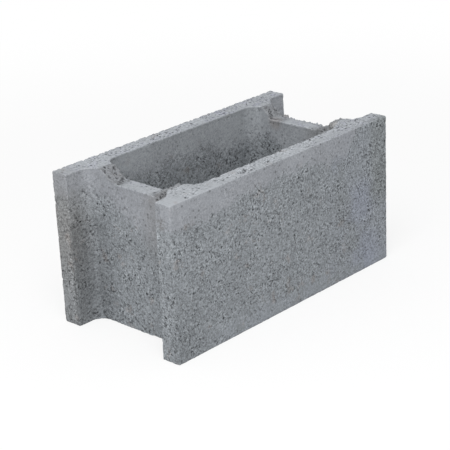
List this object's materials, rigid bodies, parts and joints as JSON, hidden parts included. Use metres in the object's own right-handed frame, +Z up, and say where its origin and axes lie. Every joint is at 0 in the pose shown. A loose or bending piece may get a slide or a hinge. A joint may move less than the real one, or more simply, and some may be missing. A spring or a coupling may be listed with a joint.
{
  "type": "hollow concrete formwork block",
  "caption": "Hollow pressed-concrete formwork block: long walls joined by cross webs set back from the ends, with saddles in the web tops for reinforcing bars; laid dry, then filled.",
  "frame": {"origin": "middle of the underside, at the height of the bed the block rests on", "axes": "+X along the block's length, +Y across it from one long wall to the other, +Z up through the open cells, with the saddles in the top"},
  "size_m": [0.5, 0.25, 0.25],
  "materials": {
    "concrete": "dry pressed concrete, fine open grain, smoother along the top of each face"
  },
  "bodies": {
    "root": {"concrete_block": "concrete"}
  },
  "joints": []
}
